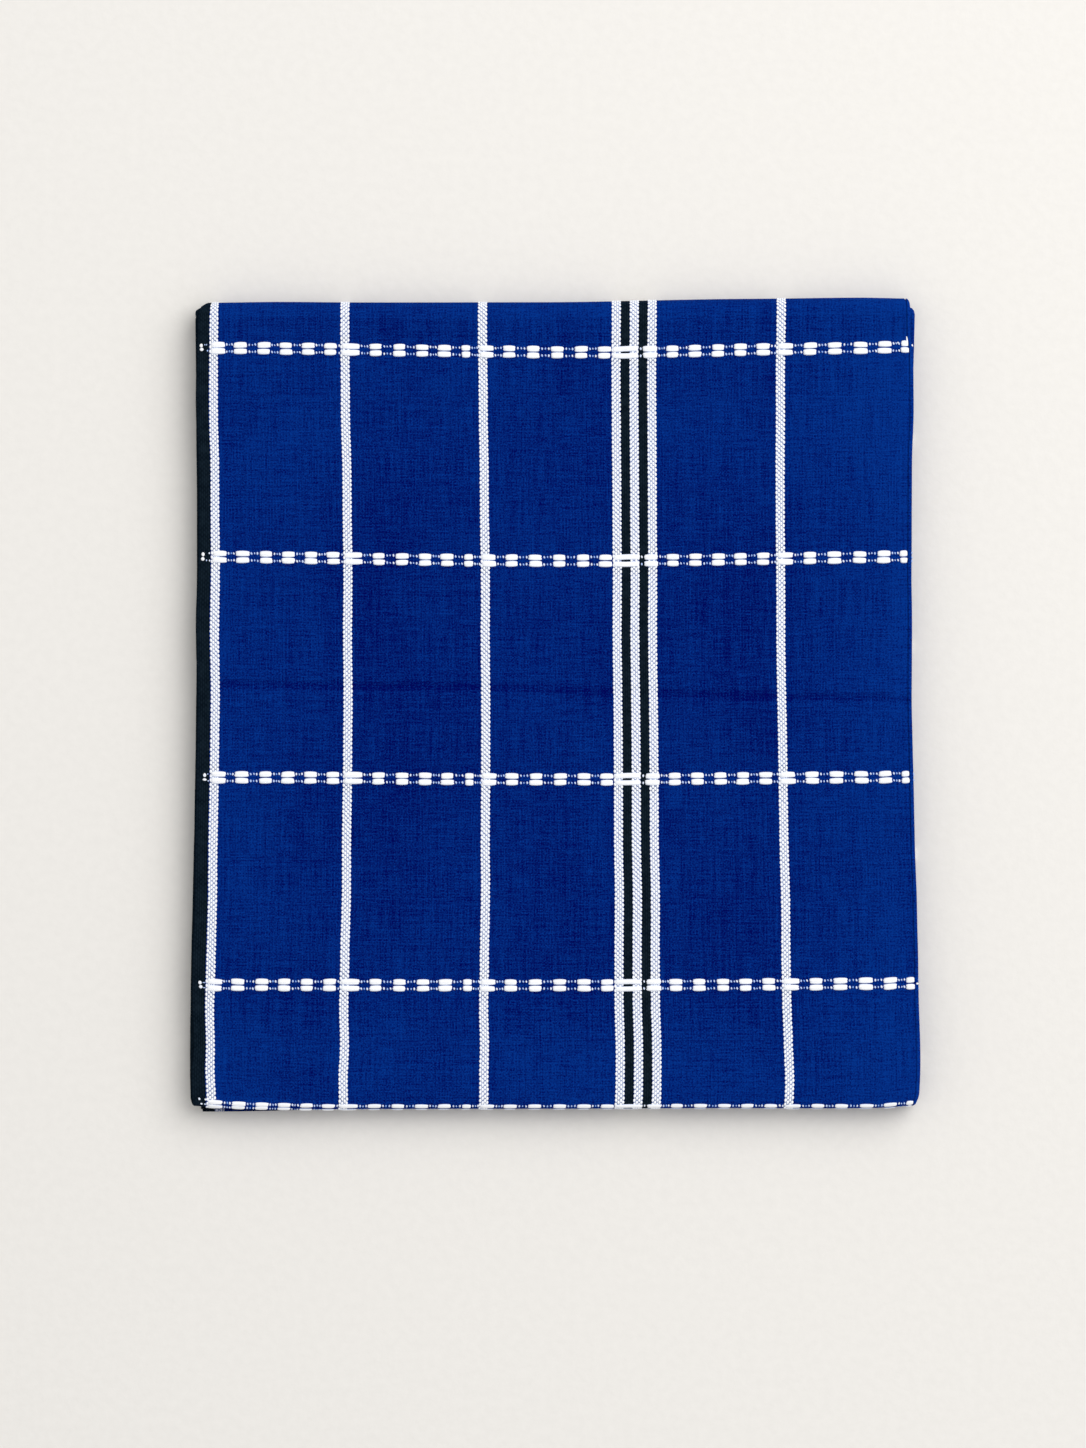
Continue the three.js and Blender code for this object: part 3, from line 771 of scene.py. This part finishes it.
def bump_bodies(bumps):
    """Points and faces of small rounded bumps, all at once: columns s, u, half length along s,
    half width along u, height and the turn of its long axis."""
    sides = BUMP_SIDES
    s, u, half_s, half_u, height, turn = np.array(bumps, float).T[:, :, None]
    angles = 2 * math.pi * (np.arange(sides) + 0.5) / sides
    along_s = np.sign(np.cos(angles)) * np.abs(np.cos(angles)) ** BUMP_OUTLINE
    along_u = np.sign(np.sin(angles)) * np.abs(np.sin(angles)) ** BUMP_OUTLINE
    ds, du, lift = [], [], []
    for reach, up in BUMP_RINGS:
        ds.append(reach * half_s * along_s)
        du.append(reach * half_u * along_u)
        lift.append(up * height + 0 * angles)
    ds.append(0 * s)
    du.append(0 * s)
    lift.append(height)
    ds, du, lift = (np.concatenate(parts, axis=1) for parts in (ds, du, lift))
    turned_s = ds * np.cos(turn) + du * np.sin(turn)
    turned_u = du * np.cos(turn) - ds * np.sin(turn)
    here_s, here_u = face_to_path(s + turned_s), u + turned_u
    points = surface(here_s, across(here_u, here_s), OUTER_LIFT + lift)
    each = 2 * sides + 1
    pattern = []
    for k in range(sides):
        n = (k + 1) % sides
        pattern.append([k, sides + k, sides + n, n])
        pattern.append([sides + k, 2 * sides, sides + n])
    pattern.append(list(range(sides)))
    faces = [[i * each + k for k in face] for i in range(len(points)) for face in pattern]
    return points.reshape(-1, 3), faces


def row_lines():
    """Each visible row's two lines: the row's number and the line's side."""
    return [(row, side) for row in range(len(ROW_S)) for side in (-1, 1)]


def row_place(row, u):
    """Where row number row lies along the outer face at u, and how far its lines lie from there."""
    x = surface(ROW_S[row], u / HALF_WIDTH, 0)[..., 0]
    offset = LINE_OFFSET
    if row == len(TOP_ROWS):
        offset = drifted(FRONT_LINES, x).item()
    return ROW_S[row] + row_shift(row, x).item(), offset


def float_list(rng):
    floats = []
    for row, side in row_lines():
        for start, length in FLOATS:
            middle = start + length / 2
            place, offset = row_place(row, middle)
            s = place + side * offset + rng.uniform(-0.06, 0.06)
            longer = rng.uniform(-0.2, 0.2)
            tall, wide = (FRONT_FLOATS["tall"], FRONT_FLOATS["wide"]) if row == len(TOP_ROWS) else (1, 1)
            floats.append((s, middle + rng.uniform(-0.1, 0.1), length + longer, side,
                           tall * rng.uniform(0.9, 1.08), wide * rng.uniform(0.94, 1.05)))
    return floats


def dot_list(rng):
    """Where the thick yarn comes up between floats: a bump for each, with its tint."""
    bumps, tints = [], []
    for row, side in row_lines():
        for (start, length), (following, _) in zip(FLOATS, FLOATS[1:]):
            gap_start = start + length
            gap = following - gap_start
            number = 3 if gap > 3 else 2 if gap > 1.9 else 1
            for k in range(number):
                u = gap_start + gap * (k + 0.75) / (number + 0.5)
                if any(abs(u - stripe) < STRIPE_HALF for stripe in WHITE_STRIPES):
                    continue
                place, offset = row_place(row, u)
                s = place + side * (offset + 0.05)
                inner = number > 2 and k == 1
                size = rng.uniform(0.75, 0.95) if inner else rng.uniform(0.95, 1.15)
                s, u = s + rng.uniform(-0.1, 0.1), u + rng.uniform(-0.06, 0.06)
                bumps.append((s, u, 0.5 * size, 0.33 * size, 0.22, rng.uniform(-0.5, 0.1)))
                tints.append(rng.uniform(0.55, 0.9) if inner else rng.uniform(0.15, 0.65))
    for row, u, offset, half_s, half_u, tint in BITS:
        bumps.append((row_place(row, u)[0] + offset, u, half_s, half_u, 0.3, 0.0))
        tints.append(tint)
    return bumps, tints


def float_yarns(material):
    rng = np.random.default_rng(21)
    points, faces, foot_tints = float_bodies(float_list(rng), rng)
    bumps, tints = dot_list(rng)
    dots, dot_faces = bump_bodies(bumps)
    faces += [[len(points) + k for k in face] for face in dot_faces]
    piece = mesh_object("float_yarns", np.concatenate([points, dots]), faces, material)
    set_values(piece, "tint", np.concatenate([foot_tints, np.repeat(tints, len(dots) // len(bumps))]))
    return piece


def warp_ends(name, ends, material, seed):
    """Warp ends as rows of bumps over the top layer, the outer fold and the front fold."""
    rng = np.random.default_rng(seed)
    start, end = path_to_face(RAISED_FROM + 0.8), path_to_face(STARTS["third"] - 0.3)
    slants = Unevenness(seed, 9, 26)
    bumps = []
    for number, u in enumerate(ends):
        offset = 0.5 * (number % 2)
        v = start + (np.arange(int((end - start) / BUMP_PITCH)) + offset) * BUMP_PITCH
        s = v + rng.uniform(-0.07, 0.07, len(v))
        turn = -0.04 + 0.3 * slants.at(np.full(len(v), u), v)
        wide = rng.uniform(0.47, 0.51, len(v))
        long = rng.uniform(0.73, 0.8, len(v))
        tall = rng.uniform(0.18, 0.25, len(v))
        places = u + rng.uniform(-0.05, 0.05, len(v))
        bumps += list(zip(s, places, long, wide, tall, turn))
    points, faces = bump_bodies(bumps)
    piece = mesh_object(name, points, faces, material)
    each = len(points) // len(bumps)
    set_values(piece, "tint", np.tile(np.where(np.arange(each) < BUMP_SIDES, FOOT_TINT, 0.0), len(bumps)))
    return piece


def stripe_ends(centres):
    """Places across of the warp ends of stripes."""
    offsets = [(k - (ENDS_A_STRIPE - 1) / 2) * END_PITCH for k in range(ENDS_A_STRIPE)]
    return [centre + offset for centre in centres for offset in offsets]


# Materials
class Graph:
    """A material and short calls that add its nodes."""

    def __init__(self, name):
        self.material = bpy.data.materials.new(name)
        self.material.use_nodes = True
        self.tree = self.material.node_tree
        self.shader = self.tree.nodes["Principled BSDF"]

    def put(self, socket, value):
        if isinstance(value, bpy.types.NodeSocket):
            self.tree.links.new(value, socket)
        elif hasattr(value, "__len__") and len(value) == 3 and len(socket.default_value) == 4:
            socket.default_value = (*value, 1)
        else:
            socket.default_value = value

    def node(self, kind, inputs=(), **settings):
        made = self.tree.nodes.new(kind)
        for key, value in settings.items():
            setattr(made, key, value)
        for key, value in dict(inputs).items():
            self.put(made.inputs[key], value)
        return made

    def math(self, operation, *values):
        made = self.node("ShaderNodeMath", operation=operation)
        for socket, value in zip(made.inputs, values):
            self.put(socket, value)
        return made.outputs[0]

    def times(self, first, second):
        return self.math("MULTIPLY", first, second)

    def minus(self, first, second):
        return self.math("SUBTRACT", first, second)

    def scaled(self, value, gain, added):
        return self.math("MULTIPLY_ADD", value, gain, added)

    def attribute(self, name):
        return self.node("ShaderNodeAttribute", attribute_name=name).outputs["Fac"]

    def mix(self, factor, first, second):
        made = self.node("ShaderNodeMix", data_type="RGBA")
        colours = [socket for socket in made.inputs if socket.type == "RGBA"]
        self.put(made.inputs[0], factor)
        self.put(colours[0], first)
        self.put(colours[1], second)
        return next(socket for socket in made.outputs if socket.type == "RGBA")

    def vector(self, x, y, z=0.0):
        return self.node("ShaderNodeCombineXYZ", {"X": x, "Y": y, "Z": z}).outputs[0]

    def noise(self, vector, scale=1.0, detail=2.0, roughness=0.5):
        inputs = {"Vector": vector, "Scale": scale, "Detail": detail, "Roughness": roughness}
        return self.node("ShaderNodeTexNoise", inputs).outputs["Fac"]

    def ramp(self, value, low, high):
        """0 at low, 1 at high, smooth between."""
        inputs = {"Value": value, "From Min": low, "From Max": high}
        return self.node("ShaderNodeMapRange", inputs, interpolation_type="SMOOTHSTEP").outputs[0]

    def finish(self, colour, height, bump, **constants):
        """Links colour and bump, and sets the shader's other sockets to plain values."""
        self.put(self.shader.inputs["Base Color"], colour)
        made = self.node("ShaderNodeBump", {"Height": height, "Distance": bump, "Strength": 1.0})
        self.tree.links.new(made.outputs[0], self.shader.inputs["Normal"])
        for name, value in constants.items():
            self.put(self.shader.inputs[name.replace("_", " ")], value)
        return self.material


def cloth_material():
    """Blue plain weave with white and black warp stripes, black selvedges and rows of floats."""
    g = Graph("cloth_blue")
    weave = g.node("ShaderNodeUVMap", uv_map="weave").outputs[0]
    u, v = g.node("ShaderNodeSeparateXYZ", {"Vector": weave}).outputs[:2]
    uneven = {
        name: g.noise(g.vector(g.math("DIVIDE", u, wide), g.math("DIVIDE", v, long)), 1.0, detail, rough)
        for name, (wide, long, detail, rough) in YARN_NOISE.items()
    }
    folded = g.minus(HALF_WIDTH, g.math("ABSOLUTE", g.minus(u, HALF_WIDTH)))
    raised = g.attribute("raised")

    # Which ends are white and which are black. Raised bumps carry the outer edge of a white stripe.
    scallop = g.times(g.math("SINE", g.times(v, 2 * math.pi / BUMP_PITCH)), 0.1)
    half = g.math("ADD", scallop, g.scaled(raised, -0.3, STRIPE_HALF))
    from_triple = g.math("ABSOLUTE", g.minus(folded, TRIPLE["centre"]))
    white = g.math("COMPARE", from_triple, TRIPLE["white"], half)
    white = g.math("MAXIMUM", white, g.math("COMPARE", from_triple, 0.0, half))
    for centre in SINGLE_STRIPES:
        white = g.math("MAXIMUM", white, g.math("COMPARE", folded, centre, half))
    black = g.math("COMPARE", from_triple, TRIPLE["black"], TRIPLE["black_half"])
    black = g.math("MAXIMUM", black, g.math("LESS_THAN", folded, SELVEDGE_WIDTH))
    warp_faced = g.math("MAXIMUM", white, black)

    # The ground's plain weave, a little uneven, and the stripes' close warp
    turn_u = g.scaled(uneven["wander"], 3.2, g.times(u, 2 * math.pi / GROUND_PITCH))
    turn_v = g.scaled(uneven["wander"], -3.2, g.times(v, 2 * math.pi / GROUND_PITCH))
    checks = g.times(g.math("SINE", turn_u), g.math("SINE", turn_v))
    warp_over = g.ramp(checks, -0.3, 0.3)
    ground_relief = g.ramp(g.math("ABSOLUTE", checks), 0.0, 0.8)
    columns = g.math("DIVIDE", folded, END_PITCH)
    odd = g.times(g.math("FLOOR", columns), math.pi)
    bumps_v = g.math("SINE", g.math("ADD", g.times(v, 2 * math.pi / BUMP_PITCH), odd))
    ridge_u = g.math("ABSOLUTE", g.math("SINE", g.times(columns, math.pi)))
    stripe_relief = g.times(g.scaled(bumps_v, 0.35, 0.65), ridge_u)
    relief = g.scaled(ground_relief, g.minus(1.0, warp_faced), g.times(stripe_relief, warp_faced))

    # Uneven hand-spun yarns: each end and each pick has its own tone, with slubs and broad shades
    between = g.minus(uneven["ends"], uneven["picks"])
    thread = g.scaled(warp_over, between, uneven["picks"])
    slubs = g.ramp(uneven["slubs"], 0.67, 0.76)
    streaks = g.math("ADD", uneven["wefts"], uneven["warps"])
    # Painted shade along the crease: darkest on it and gone 2.6 mm to either side
    crease = g.math("ABSOLUTE", g.attribute("from_crease"))
    crease_shade = g.minus(1.0, g.ramp(crease, 0.1, 2.6))

    # Painted light: paler towards the folds and the selvedge, where the rounded edges catch the light
    lit_by_right = g.ramp(folded, 198.0, HALF_WIDTH)
    lit_by_front = g.ramp(v, ROW_S[3] + 2.0, ROW_S[3] + 26.0)
    lit_by_front = g.times(lit_by_front, g.math("LESS_THAN", v, FACE_THIRD))
    lit_by_back = g.ramp(v, STARTS["top"] + 80.0, STARTS["top"] + 10.0)
    lit_at_back = g.math("COMPARE", v, (FACE_OUTER + STARTS["top"]) / 2, (STARTS["top"] - FACE_OUTER) / 2 + 1.0)
    lit_by_left = g.ramp(folded, 60.0, 8.0)
    shade = 0.32
    # What the shade is made of, the middle of each and how strongly it counts. The relief paints shade into
    # the gaps between threads.
    for value, middle, gain in (
        (thread, 0.5, 3.1), (uneven["crossings"], 0.5, 1.9), (streaks, 1.0, 0.52),
        (ground_relief, 0.0, 0.22), (uneven["broad"], 0.5, 0.5), (uneven["blotches"], 0.5, 0.42),
        (uneven["bands"], 0.5, 0.25), (slubs, 0.0, 0.3), (crease_shade, 0.0, -0.27), (lit_by_right, 0.0, 0.22),
        (lit_by_front, 0.0, 0.12), (lit_by_back, 0.0, 0.07), (lit_at_back, 0.0, 0.12), (lit_by_left, 0.0, 0.09),
    ):
        shade = g.scaled(g.minus(value, middle), gain, shade)
    blue = g.mix(g.math("MAXIMUM", shade, 0.0), BLUE_DARK, BLUE_LIGHT)

    # White stripes: white on the ends' crowns, and the gap colour with its painted shade between them and
    # under the raised bumps
    pale = g.mix(g.ramp(stripe_relief, 0.15, 0.6), GAP_WEFT_AND_SHADE, WHITE)
    pale = g.mix(raised, pale, GAP_WEFT_AND_SHADE)
    # Black ends: a random mottle, and painted shade in the gaps between ends
    mottle_and_gap_shade = g.scaled(uneven["blotches"], 0.8, g.times(stripe_relief, 0.35))
    dark = g.mix(g.ramp(mottle_and_gap_shade, 0.3, 0.8), (0.002, 0.005, 0.009), (0.007, 0.014, 0.022))
    colour = g.mix(white, blue, pale)
    colour = g.mix(black, colour, dark)

    # Rows of floats, on the faces that carry no raised ones
    to_row = g.attribute("to_row")
    in_line = g.math("COMPARE", to_row, LINE_OFFSET, 0.95)
    place = g.math("FRACT", g.math("DIVIDE", g.minus(folded, FLOATS[0][0]), 8.1))
    floats = g.times(in_line, g.math("LESS_THAN", place, 0.55))
    floats = g.times(floats, g.math("GREATER_THAN", folded, SELVEDGE_WIDTH))
    floats = g.times(floats, g.minus(1.0, raised))
    colour = g.mix(floats, colour, WHITE)

    height = g.scaled(thread, 0.7, relief)
    return g.finish(colour, height, 0.00012, Roughness=0.93, Sheen_Weight=0.03, Sheen_Roughness=0.5,
                    Sheen_Tint=(0.02, 0.25, 1.0), Specular_IOR_Level=0.01)


def white_yarn_material():
    """Bleached cotton: soft strands with a fine twist, tinted where the blue weft shows through."""
    g = Graph("yarn_white")
    place = g.node("ShaderNodeTexCoord").outputs["Object"]
    tint = g.attribute("tint")
    fibres = g.noise(place, scale=2600.0, detail=3.0)
    soft = g.noise(place, scale=420.0, detail=2.0)
    white = g.mix(soft, (0.9, 0.91, 0.94), (0.97, 0.975, 0.985))
    colour = g.mix(tint, white, FLOAT_BLUE)
    return g.finish(colour, fibres, 0.00006, Roughness=0.9, Sheen_Weight=0.1, Sheen_Roughness=0.5,
                    Specular_IOR_Level=0.2)


def floor_material():
    g = Graph("floor_pale")
    place = g.node("ShaderNodeTexCoord").outputs["Object"]
    grain = g.noise(place, scale=300.0, detail=3.0)
    colour = g.mix(g.ramp(grain, 0.2, 0.8), PALE_FLOOR, tuple(min(1, c * 1.03) for c in PALE_FLOOR))
    return g.finish(colour, grain, 0.0001, Roughness=0.9, Specular_IOR_Level=0.2)


# Stage, light and camera
def add_floor():
    half = FLOOR["half"]
    mesh = bpy.data.meshes.new("floor")
    corners = [(-half, -half, 0), (half, -half, 0), (half, half, 0), (-half, half, 0)]
    mesh.from_pydata(corners, [], [(0, 1, 2, 3)])
    mesh.materials.append(floor_material())
    floor = bpy.data.objects.new("floor", mesh)
    floor.location.z = FLOOR["z"]
    bpy.context.scene.collection.objects.link(floor)


def add_light(name, size, energy, place):
    """A square light that faces the middle of the floor."""
    data = bpy.data.lights.new(name, "AREA")
    data.shape = "SQUARE"
    data.size = size
    data.energy = energy
    lamp = bpy.data.objects.new(name, data)
    lamp.location = place
    x, y, z = place
    lamp.rotation_euler = (math.atan2(math.hypot(x, y), z), 0, math.atan2(x, -y))
    bpy.context.scene.collection.objects.link(lamp)


def add_world(colour, strength):
    world = bpy.data.worlds.new("studio")
    world.use_nodes = True
    background = world.node_tree.nodes["Background"]
    background.inputs["Color"].default_value = colour
    background.inputs["Strength"].default_value = strength
    bpy.context.scene.world = world


def add_camera():
    """Straight down, framed as the photo: its middle over CAMERA_XY and FRAME_HEIGHT high on the cloth."""
    data = bpy.data.cameras.new("camera")
    data.sensor_fit = "VERTICAL"
    data.sensor_height = 32.0
    data.lens = data.sensor_height * CAMERA_DISTANCE / FRAME_HEIGHT
    camera = bpy.data.objects.new("camera", data)
    top = STACK_HEIGHT + 0.3
    camera.location = [METRE * place for place in (*CAMERA_XY, top + CAMERA_DISTANCE)]
    bpy.context.scene.collection.objects.link(camera)
    bpy.context.scene.camera = camera


def build():
    cloth_look = cloth_material()
    white_look = white_yarn_material()
    sheet = cloth_sheet(cloth_look)
    floats = float_yarns(white_look)
    stripes = warp_ends("white_warp_ends", stripe_ends(WHITE_STRIPES), white_look, 31)
    for piece, slot in ((sheet, "cloth_blue"), (floats, "yarn_white"), (stripes, "yarn_white")):
        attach(piece, "root")
    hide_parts("cloth")


build()
add_floor()
add_light("key", **KEY_LIGHT)
add_world(**WORLD_LIGHT)
add_camera()
bpy.context.scene.view_settings.view_transform = "Standard"
